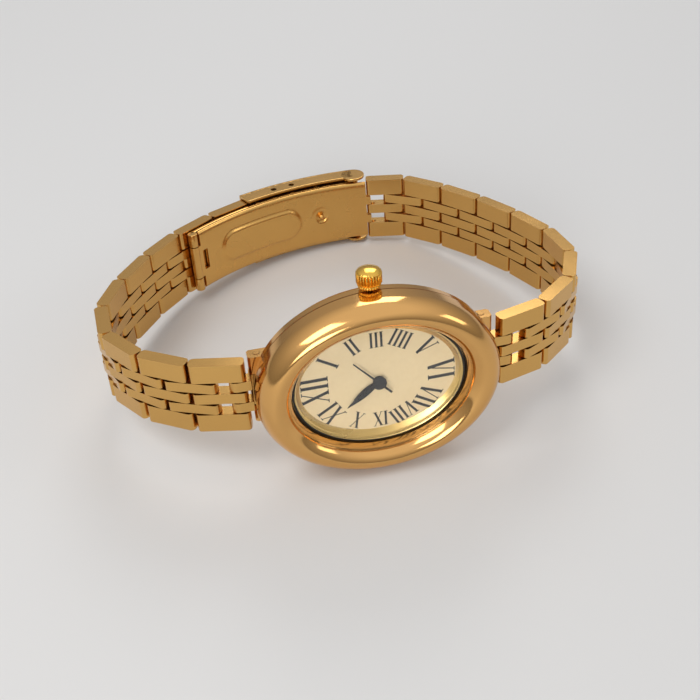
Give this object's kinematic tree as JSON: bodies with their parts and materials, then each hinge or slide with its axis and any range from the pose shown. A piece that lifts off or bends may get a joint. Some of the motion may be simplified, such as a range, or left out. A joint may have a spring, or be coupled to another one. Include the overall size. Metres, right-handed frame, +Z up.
{
  "type": "oval wristwatch",
  "caption": "Oval analogue wristwatch with a domed bezel on a link bracelet with a folding clasp.",
  "frame": {"origin": "on the table, under the middle of the watch's overall box", "axes": "+X from 12 to 6 o'clock, +Y from the dial through the case back to the clasp, +Z up towards the crown at 3 o'clock"},
  "size_m": [0.0658, 0.0552, 0.027],
  "materials": {
    "rose_gold": "polished rose-gold plating",
    "yellow_gold": "polished yellow-gold plating",
    "steel": "bright steel",
    "glass": "clear mineral crystal",
    "gasket": "black seal",
    "dial": "pale champagne lacquer",
    "hands": "black lacquer",
    "holder": "white plastic",
    "battery": "steel can"
  },
  "bodies": {
    "case": {"mid_case": "rose_gold", "bezel": "rose_gold", "case_back": "rose_gold", "back_gasket": "gasket", "crystal": "glass", "crystal_gasket": "gasket", "rehaut_ring": "yellow_gold", "dial": "dial", "movement": "steel", "battery": "battery", "movement_holder": "holder", "lug_spring_bars": "steel", "end_links": "rose_gold"},
    "hour_hand": {"hour_hand": "hands"},
    "minute_hand": {"minute_hand": "hands"},
    "second_hand": {"second_hand": "hands"},
    "setting_lever": {"setting_lever": "steel"},
    "crown": {"crown": "yellow_gold", "stem": "steel"},
    "clasp_cover": {"clasp_cover": "rose_gold", "clasp_cover_pins": "steel"},
    "safety_catch": {"safety_catch": "rose_gold"},
    "middle_blade": {"clasp_middle_blade": "rose_gold", "middle_blade_pin": "steel"},
    "inner_blade": {"clasp_inner_blade": "rose_gold"},
    "left_link_01": {"left_link_01_pinned": "rose_gold"},
    "left_link_02": {"left_link_02_paired": "rose_gold"},
    "left_link_03": {"left_link_03_pinned": "rose_gold"},
    "left_link_04": {"left_link_04_paired": "rose_gold"},
    "left_link_05": {"left_link_05_pinned": "rose_gold"},
    "left_link_06": {"left_link_06_paired": "rose_gold"},
    "left_link_07": {"left_link_07_pinned": "rose_gold"},
    "left_link_08": {"left_link_08_paired": "rose_gold"},
    "left_link_09": {"left_link_09_pinned": "rose_gold"},
    "left_link_10": {"left_link_10_paired": "rose_gold"},
    "left_link_11": {"left_link_11_pinned": "rose_gold"},
    "left_link_12": {"left_link_12_paired": "rose_gold"},
    "left_link_13": {"left_link_13_pinned": "rose_gold"},
    "left_link_14": {"left_link_14_paired": "rose_gold"},
    "left_link_15": {"left_link_15_pinned": "rose_gold"},
    "left_link_16": {"left_link_16_paired": "rose_gold"},
    "left_link_17": {"left_link_17_pinned": "rose_gold"},
    "left_link_18": {"left_link_18_paired": "rose_gold"},
    "right_link_01": {"right_link_01_pinned": "rose_gold"},
    "right_link_02": {"right_link_02_paired": "rose_gold"},
    "right_link_03": {"right_link_03_pinned": "rose_gold"},
    "right_link_04": {"right_link_04_paired": "rose_gold"},
    "right_link_05": {"right_link_05_pinned": "rose_gold"},
    "right_link_06": {"right_link_06_paired": "rose_gold"},
    "right_link_07": {"right_link_07_pinned": "rose_gold"},
    "right_link_08": {"right_link_08_paired": "rose_gold"},
    "right_link_09": {"right_link_09_pinned": "rose_gold"},
    "right_link_10": {"right_link_10_paired": "rose_gold"},
    "right_link_11": {"right_link_11_pinned": "rose_gold"},
    "right_link_12": {"right_link_12_paired": "rose_gold"},
    "right_link_13": {"right_link_13_pinned": "rose_gold"},
    "right_link_14": {"right_link_14_paired": "rose_gold"},
    "right_link_15": {"right_link_15_pinned": "rose_gold"},
    "right_link_16": {"right_link_16_paired": "rose_gold"},
    "right_link_17": {"right_link_17_pinned": "rose_gold"}
  },
  "joints": [
    {"name": "clasp_open", "type": "hinge", "parent": "clasp_cover", "child": "middle_blade", "pos_m": [0.00859, 0.02437, 0.00575], "axis": [0, 0.1414, 0.9899], "range_deg": [0, 45]},
    {"name": "clasp_unfold", "type": "hinge", "parent": "middle_blade", "child": "inner_blade", "pos_m": [-0.01805, 0.01427, 0.0072], "axis": [0, -0.1414, -0.9899], "range_deg": [0, 67.5]},
    {"name": "left_pivot_01", "type": "hinge", "parent": "case", "child": "left_link_01", "pos_m": [-0.01642, -0.02036, 0.01215], "axis": [0, -0.1414, -0.9899], "range_deg": [-13.7, 0]},
    {"name": "left_pivot_02", "type": "hinge", "parent": "left_link_01", "child": "left_link_02", "pos_m": [-0.02021, -0.01945, 0.01201], "axis": [0, -0.1414, -0.9899], "range_deg": [-11.4, 0]},
    {"name": "left_pivot_03", "type": "hinge", "parent": "left_link_02", "child": "left_link_03", "pos_m": [-0.02333, -0.018, 0.01181], "axis": [0, -0.1414, -0.9899], "range_deg": [-9.9, 0]},
    {"name": "left_pivot_04", "type": "hinge", "parent": "left_link_03", "child": "left_link_04", "pos_m": [-0.02616, -0.01604, 0.01153], "axis": [0, -0.1414, -0.9899], "range_deg": [-10.1, 0]},
    {"name": "left_pivot_05", "type": "hinge", "parent": "left_link_04", "child": "left_link_05", "pos_m": [-0.02859, -0.01362, 0.01118], "axis": [0, -0.1414, -0.9899], "range_deg": [-11.7, 0]},
    {"name": "left_pivot_06", "type": "hinge", "parent": "left_link_05", "child": "left_link_06", "pos_m": [-0.03048, -0.01077, 0.01077], "axis": [0, -0.1414, -0.9899], "range_deg": [-14.2, 0]},
    {"name": "left_pivot_07", "type": "hinge", "parent": "left_link_06", "child": "left_link_07", "pos_m": [-0.0316, -0.00754, 0.01031], "axis": [0, -0.1414, -0.9899], "range_deg": [-15.8, 0]},
    {"name": "left_pivot_08", "type": "hinge", "parent": "left_link_07", "child": "left_link_08", "pos_m": [-0.0318, -0.00413, 0.00983], "axis": [0, -0.1414, -0.9899], "range_deg": [-15, 0]},
    {"name": "left_pivot_09", "type": "hinge", "parent": "left_link_08", "child": "left_link_09", "pos_m": [-0.03109, -0.00078, 0.00935], "axis": [0, -0.1414, -0.9899], "range_deg": [-11.4, 0]},
    {"name": "left_pivot_10", "type": "hinge", "parent": "left_link_09", "child": "left_link_10", "pos_m": [-0.02973, 0.00236, 0.0089], "axis": [0, -0.1414, -0.9899], "range_deg": [-6.9, 0]},
    {"name": "left_pivot_11", "type": "hinge", "parent": "left_link_10", "child": "left_link_11", "pos_m": [-0.028, 0.00531, 0.00848], "axis": [0, -0.1414, -0.9899], "range_deg": [-3.9, 0]},
    {"name": "left_pivot_12", "type": "hinge", "parent": "left_link_11", "child": "left_link_12", "pos_m": [-0.02607, 0.00814, 0.00807], "axis": [0, -0.1414, -0.9899], "range_deg": [-3.5, 0]},
    {"name": "left_pivot_13", "type": "hinge", "parent": "left_link_12", "child": "left_link_13", "pos_m": [-0.02397, 0.01085, 0.00769], "axis": [0, -0.1414, -0.9899], "range_deg": [-4.5, 0]},
    {"name": "left_pivot_14", "type": "hinge", "parent": "left_link_13", "child": "left_link_14", "pos_m": [-0.02166, 0.01339, 0.00732], "axis": [0, -0.1414, -0.9899], "range_deg": [-6.2, 0]},
    {"name": "left_pivot_15", "type": "hinge", "parent": "left_link_14", "child": "left_link_15", "pos_m": [-0.01909, 0.01567, 0.007], "axis": [0, -0.1414, -0.9899], "range_deg": [-4.9, 0]},
    {"name": "left_pivot_16", "type": "hinge", "parent": "left_link_15", "child": "left_link_16", "pos_m": [-0.01633, 0.01772, 0.0067], "axis": [0, -0.1414, -0.9899], "range_deg": [-4.9, 0]},
    {"name": "left_pivot_17", "type": "hinge", "parent": "left_link_16", "child": "left_link_17", "pos_m": [-0.01341, 0.01953, 0.00645], "axis": [0, -0.1414, -0.9899], "range_deg": [-4.9, 0]},
    {"name": "left_pivot_18", "type": "hinge", "parent": "left_link_17", "child": "left_link_18", "pos_m": [-0.01034, 0.02108, 0.00622], "axis": [0, -0.1414, -0.9899], "range_deg": [-4.9, 0]},
    {"name": "right_pivot_01", "type": "hinge", "parent": "case", "child": "right_link_01", "pos_m": [0.01838, -0.02036, 0.01215], "axis": [0, -0.1414, -0.9899], "range_deg": [0, 15.9]},
    {"name": "right_pivot_02", "type": "hinge", "parent": "right_link_01", "child": "right_link_02", "pos_m": [0.02213, -0.01931, 0.01199], "axis": [0, -0.1414, -0.9899], "range_deg": [0, 12.8]},
    {"name": "right_pivot_03", "type": "hinge", "parent": "right_link_02", "child": "right_link_03", "pos_m": [0.02516, -0.01767, 0.01176], "axis": [0, -0.1414, -0.9899], "range_deg": [0, 11.3]},
    {"name": "right_pivot_04", "type": "hinge", "parent": "right_link_03", "child": "right_link_04", "pos_m": [0.0278, -0.01547, 0.01145], "axis": [0, -0.1414, -0.9899], "range_deg": [0, 11.9]},
    {"name": "right_pivot_05", "type": "hinge", "parent": "right_link_04", "child": "right_link_05", "pos_m": [0.02993, -0.01278, 0.01106], "axis": [0, -0.1414, -0.9899], "range_deg": [0, 14]},
    {"name": "right_pivot_06", "type": "hinge", "parent": "right_link_05", "child": "right_link_06", "pos_m": [0.03134, -0.00967, 0.01062], "axis": [0, -0.1414, -0.9899], "range_deg": [0, 15.6]},
    {"name": "right_pivot_07", "type": "hinge", "parent": "right_link_06", "child": "right_link_07", "pos_m": [0.03185, -0.00629, 0.01013], "axis": [0, -0.1414, -0.9899], "range_deg": [0, 14.4]},
    {"name": "right_pivot_08", "type": "hinge", "parent": "right_link_07", "child": "right_link_08", "pos_m": [0.0315, -0.00289, 0.00965], "axis": [0, -0.1414, -0.9899], "range_deg": [0, 10.5]},
    {"name": "right_pivot_09", "type": "hinge", "parent": "right_link_08", "child": "right_link_09", "pos_m": [0.03052, 0.00039, 0.00918], "axis": [0, -0.1414, -0.9899], "range_deg": [0, 5.7]},
    {"name": "right_pivot_10", "type": "hinge", "parent": "right_link_09", "child": "right_link_10", "pos_m": [0.02922, 0.00355, 0.00873], "axis": [0, -0.1414, -0.9899], "range_deg": [0, 3.5]},
    {"name": "right_pivot_11", "type": "hinge", "parent": "right_link_10", "child": "right_link_11", "pos_m": [0.02773, 0.00663, 0.00829], "axis": [0, -0.1414, -0.9899], "range_deg": [0, 3.5]},
    {"name": "right_pivot_12", "type": "hinge", "parent": "right_link_11", "child": "right_link_12", "pos_m": [0.02606, 0.00961, 0.00786], "axis": [0, -0.1414, -0.9899], "range_deg": [0, 3.5]},
    {"name": "right_pivot_13", "type": "hinge", "parent": "right_link_12", "child": "right_link_13", "pos_m": [0.0242, 0.01249, 0.00745], "axis": [0, -0.1414, -0.9899], "range_deg": [0, 3.5]},
    {"name": "right_pivot_14", "type": "hinge", "parent": "right_link_13", "child": "right_link_14", "pos_m": [0.02216, 0.01525, 0.00706], "axis": [0, -0.1414, -0.9899], "range_deg": [0, 3.5]},
    {"name": "right_pivot_15", "type": "hinge", "parent": "right_link_14", "child": "right_link_15", "pos_m": [0.01996, 0.01788, 0.00668], "axis": [0, -0.1414, -0.9899], "range_deg": [0, 5]},
    {"name": "right_pivot_16", "type": "hinge", "parent": "right_link_15", "child": "right_link_16", "pos_m": [0.01754, 0.02031, 0.00633], "axis": [0, -0.1414, -0.9899], "range_deg": [0, 11.7]},
    {"name": "right_pivot_17", "type": "hinge", "parent": "right_link_16", "child": "right_link_17", "pos_m": [0.01467, 0.02221, 0.00606], "axis": [0, -0.1414, -0.9899], "range_deg": [0, 19.9]},
    {"name": "cover_pivot", "type": "hinge", "parent": "left_link_18", "child": "clasp_cover", "pos_m": [-0.00714, 0.02237, 0.00604], "axis": [0, -0.1414, -0.9899], "range_deg": [-3, 0]},
    {"name": "safety_catch_lift", "type": "hinge", "parent": "clasp_cover", "child": "safety_catch", "pos_m": [0.00112, 0.02666, 0.00543], "axis": [0, -0.1414, -0.9899], "range_deg": [0, 70]},
    {"name": "crown_pull", "type": "slide", "parent": "case", "child": "setting_lever", "axis": [0, 0.1414, 0.9899], "range_m": [0, 0.0008]},
    {"name": "crown_turn", "type": "hinge", "parent": "setting_lever", "child": "crown", "pos_m": [0.00098, -0.01869, 0.02458], "axis": [0, 0.1414, 0.9899], "continuous": true},
    {"name": "minute_turn", "type": "hinge", "parent": "case", "child": "minute_hand", "pos_m": [0.00098, -0.02276, 0.01249], "axis": [0, 0.9899, -0.1414], "continuous": true},
    {"name": "hour_turn", "type": "hinge", "parent": "case", "child": "hour_hand", "pos_m": [0.00098, -0.02254, 0.01246], "axis": [0, 0.9899, -0.1414], "continuous": true},
    {"name": "second_turn", "type": "hinge", "parent": "case", "child": "second_hand", "pos_m": [0.00098, -0.02298, 0.01252], "axis": [0, 0.9899, -0.1414], "continuous": true}
  ],
  "couplings": [
    {"joint": "clasp_unfold", "follows": "clasp_open", "ratio": 1.5},
    {"joint": "hour_turn", "follows": "minute_turn", "ratio": 0.083333}
  ]
}
